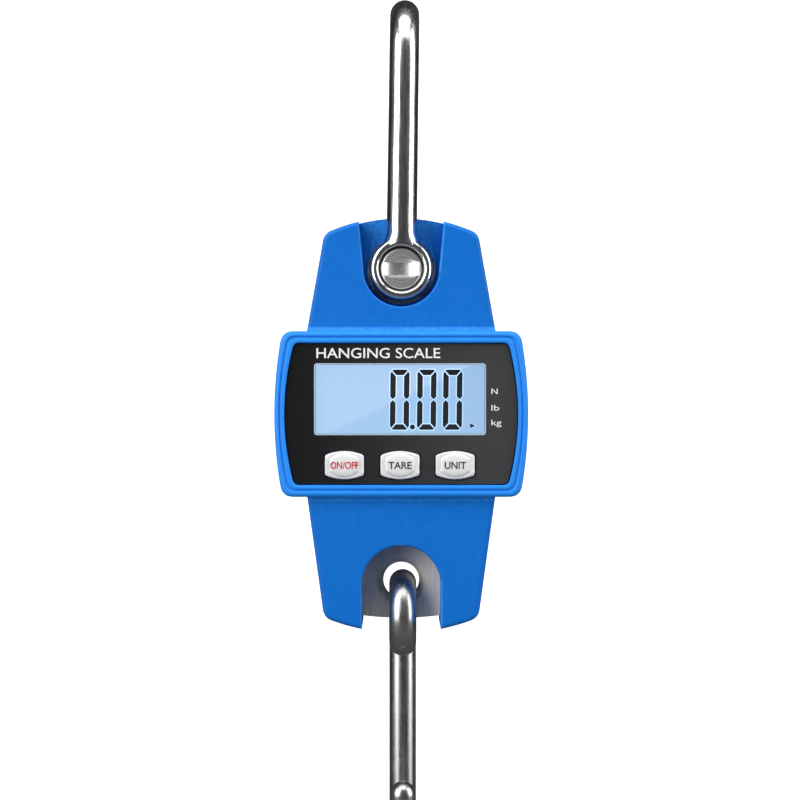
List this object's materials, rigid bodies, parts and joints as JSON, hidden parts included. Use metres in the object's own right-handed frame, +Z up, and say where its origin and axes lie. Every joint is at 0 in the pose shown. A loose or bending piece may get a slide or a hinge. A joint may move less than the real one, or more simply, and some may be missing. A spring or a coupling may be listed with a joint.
{
  "type": "crane scale",
  "caption": "Small hanging crane scale: moulded casing with a lit display and push buttons, a bolted hanging hook above and a ring-eye load hook below.",
  "frame": {"origin": "hang point: the seat inside the upper hook's bowl, where the bar that carries the scale bears", "axes": "+X to the user's right, +Y from the display to the back, +Z up along the load line"},
  "size_m": [0.0816, 0.0528, 0.2806],
  "materials": {
    "blue_plastic": "blue moulded plastic, satin, with softly shining edges",
    "hook_steel": "polished bright steel with fine drawing lines along the bar",
    "cell_metal": "brushed grey metal",
    "lens_acrylic": "glossy black-backed acrylic with a clear window",
    "foam": "black adhesive foam",
    "lcd": "liquid crystal glass with black segments",
    "diffuser": "light-guide panel, glowing pale blue",
    "button_white": "white moulded plastic",
    "circuit_board": "green solder mask",
    "chip": "black moulded resin",
    "gauge_foil": "amber gauge film",
    "cable": "grey cable jacket",
    "brass_washer": "plain turned brass",
    "zinc": "bright zinc plate",
    "battery_sleeve": "printed dark battery sleeve, no marks"
  },
  "bodies": {
    "hanger": {"upper_hook": "hook_steel"},
    "housing": {"hook_bolt": "hook_steel", "front_cover": "blue_plastic", "rear_cover": "blue_plastic", "display_lens": "lens_acrylic", "lens_gasket": "foam", "lcd_glass": "lcd", "lcd_backlight": "diffuser", "main_board": "circuit_board", "weighing_chip": "chip", "display_chip": "chip", "load_cell": "cell_metal", "strain_gauge_left": "gauge_foil", "strain_gauge_right": "gauge_foil", "cell_cable": "cable", "battery_lead_left": "cable", "battery_lead_right": "cable", "eye_washer": "brass_washer", "spring_washer": "zinc", "bolt_nut": "zinc", "contact_strip_left": "zinc", "contact_strip_right": "zinc", "switch_body_on_off": "zinc", "switch_body_tare": "zinc", "switch_body_unit": "zinc", "cover_screw_1": "zinc", "board_screw_1": "zinc", "cover_screw_2": "zinc", "board_screw_2": "zinc", "cover_screw_3": "zinc", "board_screw_3": "zinc", "cover_screw_4": "zinc", "board_screw_4": "zinc", "cell_screw_1": "zinc", "cell_screw_2": "zinc", "battery_1": "battery_sleeve", "contact_coil_1": "zinc", "battery_2": "battery_sleeve", "contact_coil_2": "zinc", "battery_3": "battery_sleeve", "contact_coil_3": "zinc"},
    "load_hook": {"lower_hook": "hook_steel"},
    "button_on_off": {"button_on_off": "button_white", "switch_stem_on_off": "chip"},
    "button_tare": {"button_tare": "button_white", "switch_stem_tare": "chip"},
    "button_unit": {"button_unit": "button_white", "switch_stem_unit": "chip"},
    "battery_lid": {"battery_door": "blue_plastic", "door_screw": "zinc"}
  },
  "joints": [
    {"name": "housing_swing", "type": "hinge", "parent": "hanger", "child": "housing", "pos_m": [-0.00111, -0.0112, -0.07949], "axis": [0, 1, 0], "range_deg": [-24, 24]},
    {"name": "load_hook_swing", "type": "hinge", "parent": "housing", "child": "load_hook", "pos_m": [-0.00061, 0, -0.19174], "axis": [1, 0, 0], "range_deg": [-60, 60]},
    {"name": "press_on_off", "type": "slide", "parent": "housing", "child": "button_on_off", "axis": [0, 1, 0], "range_m": [0, 0.0005], "stiffness_N_per_m": 1500},
    {"name": "press_tare", "type": "slide", "parent": "housing", "child": "button_tare", "axis": [0, 1, 0], "range_m": [0, 0.0005], "stiffness_N_per_m": 1500},
    {"name": "press_unit", "type": "slide", "parent": "housing", "child": "button_unit", "axis": [0, 1, 0], "range_m": [0, 0.0005], "stiffness_N_per_m": 1500},
    {"name": "battery_lid_off", "type": "slide", "parent": "housing", "child": "battery_lid", "axis": [0, 1, 0], "range_m": [0, 0.025]}
  ]
}
